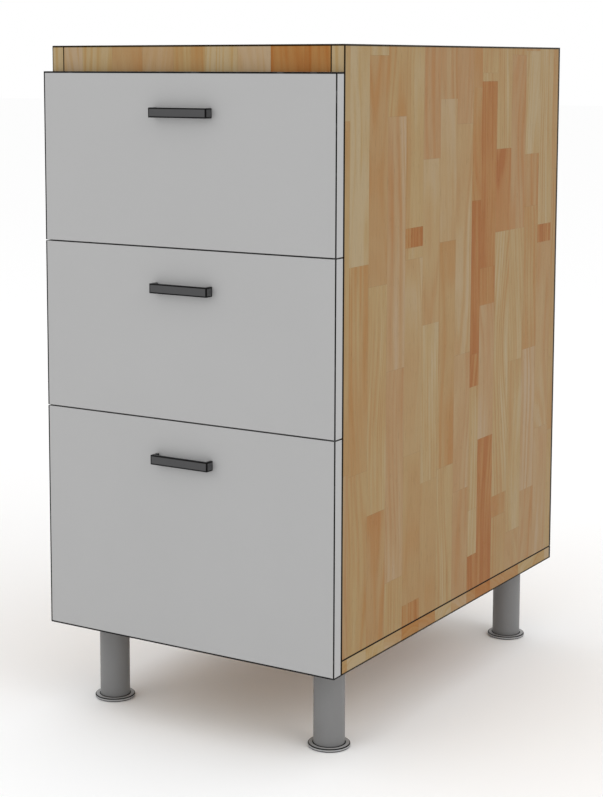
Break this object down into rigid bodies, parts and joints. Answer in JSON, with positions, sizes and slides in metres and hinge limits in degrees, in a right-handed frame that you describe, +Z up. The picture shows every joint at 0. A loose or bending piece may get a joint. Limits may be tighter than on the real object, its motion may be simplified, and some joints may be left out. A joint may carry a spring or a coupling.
{
  "type": "base cabinet with drawers",
  "caption": "Narrow kitchen base cabinet: stave-board carcass on four adjustable legs, with full-extension drawers behind flat overlay fronts and square bar handles.",
  "frame": {"origin": "on the floor, under the centre of the whole cabinet, fronts and handles included", "axes": "+Z up; the drawer fronts face -Y; +X to the right of someone who faces them"},
  "size_m": [0.4, 0.6094, 0.806],
  "materials": {
    "carcass_board": "finger-jointed stave board, satin lacquer",
    "drawer_board": "plain light softwood, satin",
    "back_sheet": "thin fibreboard, matt",
    "front_board": "light-grey matt laminate with a fine dark line at its edges",
    "handle_metal": "dark-grey satin powder coat",
    "leg_metal": "mid-grey satin powder coat",
    "foot_plastic": "light-grey moulded plastic",
    "runner_steel": "zinc-plated sheet"
  },
  "bodies": {
    "carcass": {"side_panel_left": "carcass_board", "side_panel_right": "carcass_board", "bottom_panel": "carcass_board", "front_rail": "carcass_board", "rear_rail": "carcass_board", "back_panel": "back_sheet", "leg_plate_front_left": "leg_metal", "leg_tube_front_left": "leg_metal", "leg_plate_front_right": "leg_metal", "leg_tube_front_right": "leg_metal", "leg_plate_rear_left": "leg_metal", "leg_tube_rear_left": "leg_metal", "leg_plate_rear_right": "leg_metal", "leg_tube_rear_right": "leg_metal", "top_left_cabinet_rail": "runner_steel", "top_right_cabinet_rail": "runner_steel", "middle_left_cabinet_rail": "runner_steel", "middle_right_cabinet_rail": "runner_steel", "bottom_left_cabinet_rail": "runner_steel", "bottom_right_cabinet_rail": "runner_steel"},
    "top_drawer": {"top_drawer_front": "front_board", "top_drawer_handle": "handle_metal", "top_drawer_box_front": "drawer_board", "top_drawer_box_back": "drawer_board", "top_drawer_left_side": "drawer_board", "top_drawer_right_side": "drawer_board", "top_drawer_base": "back_sheet", "top_left_drawer_rail": "runner_steel", "top_right_drawer_rail": "runner_steel"},
    "top_left_runner_middle": {"top_left_middle_rail": "runner_steel"},
    "top_right_runner_middle": {"top_right_middle_rail": "runner_steel"},
    "middle_drawer": {"middle_drawer_front": "front_board", "middle_drawer_handle": "handle_metal", "middle_drawer_box_front": "drawer_board", "middle_drawer_box_back": "drawer_board", "middle_drawer_left_side": "drawer_board", "middle_drawer_right_side": "drawer_board", "middle_drawer_base": "back_sheet", "middle_left_drawer_rail": "runner_steel", "middle_right_drawer_rail": "runner_steel"},
    "middle_left_runner_middle": {"middle_left_middle_rail": "runner_steel"},
    "middle_right_runner_middle": {"middle_right_middle_rail": "runner_steel"},
    "bottom_drawer": {"bottom_drawer_front": "front_board", "bottom_drawer_handle": "handle_metal", "bottom_drawer_box_front": "drawer_board", "bottom_drawer_box_back": "drawer_board", "bottom_drawer_left_side": "drawer_board", "bottom_drawer_right_side": "drawer_board", "bottom_drawer_base": "back_sheet", "bottom_left_drawer_rail": "runner_steel", "bottom_right_drawer_rail": "runner_steel"},
    "bottom_left_runner_middle": {"bottom_left_middle_rail": "runner_steel"},
    "bottom_right_runner_middle": {"bottom_right_middle_rail": "runner_steel"},
    "foot_front_left": {"leg_foot_front_left": "foot_plastic"},
    "foot_front_right": {"leg_foot_front_right": "foot_plastic"},
    "foot_rear_left": {"leg_foot_rear_left": "foot_plastic"},
    "foot_rear_right": {"leg_foot_rear_right": "foot_plastic"}
  },
  "joints": [
    {"name": "top_drawer_slide", "type": "slide", "parent": "carcass", "child": "top_drawer", "axis": [0, -1, 0], "range_m": [0, 0.5]},
    {"name": "top_left_runner_middle_slide", "type": "slide", "parent": "carcass", "child": "top_left_runner_middle", "axis": [0, -1, 0], "range_m": [0, 0.25]},
    {"name": "top_right_runner_middle_slide", "type": "slide", "parent": "carcass", "child": "top_right_runner_middle", "axis": [0, -1, 0], "range_m": [0, 0.25]},
    {"name": "middle_drawer_slide", "type": "slide", "parent": "carcass", "child": "middle_drawer", "axis": [0, -1, 0], "range_m": [0, 0.5]},
    {"name": "middle_left_runner_middle_slide", "type": "slide", "parent": "carcass", "child": "middle_left_runner_middle", "axis": [0, -1, 0], "range_m": [0, 0.25]},
    {"name": "middle_right_runner_middle_slide", "type": "slide", "parent": "carcass", "child": "middle_right_runner_middle", "axis": [0, -1, 0], "range_m": [0, 0.25]},
    {"name": "bottom_drawer_slide", "type": "slide", "parent": "carcass", "child": "bottom_drawer", "axis": [0, -1, 0], "range_m": [0, 0.5]},
    {"name": "bottom_left_runner_middle_slide", "type": "slide", "parent": "carcass", "child": "bottom_left_runner_middle", "axis": [0, -1, 0], "range_m": [0, 0.25]},
    {"name": "bottom_right_runner_middle_slide", "type": "slide", "parent": "carcass", "child": "bottom_right_runner_middle", "axis": [0, -1, 0], "range_m": [0, 0.25]},
    {"name": "foot_front_left_level", "type": "slide", "parent": "carcass", "child": "foot_front_left", "axis": [0, 0, -1], "range_m": [0, 0.015]},
    {"name": "foot_front_right_level", "type": "slide", "parent": "carcass", "child": "foot_front_right", "axis": [0, 0, -1], "range_m": [0, 0.015]},
    {"name": "foot_rear_left_level", "type": "slide", "parent": "carcass", "child": "foot_rear_left", "axis": [0, 0, -1], "range_m": [0, 0.015]},
    {"name": "foot_rear_right_level", "type": "slide", "parent": "carcass", "child": "foot_rear_right", "axis": [0, 0, -1], "range_m": [0, 0.015]}
  ],
  "couplings": [
    {"joint": "top_left_runner_middle_slide", "follows": "top_drawer_slide", "ratio": 0.5},
    {"joint": "top_right_runner_middle_slide", "follows": "top_drawer_slide", "ratio": 0.5},
    {"joint": "middle_left_runner_middle_slide", "follows": "middle_drawer_slide", "ratio": 0.5},
    {"joint": "middle_right_runner_middle_slide", "follows": "middle_drawer_slide", "ratio": 0.5},
    {"joint": "bottom_left_runner_middle_slide", "follows": "bottom_drawer_slide", "ratio": 0.5},
    {"joint": "bottom_right_runner_middle_slide", "follows": "bottom_drawer_slide", "ratio": 0.5}
  ]
}
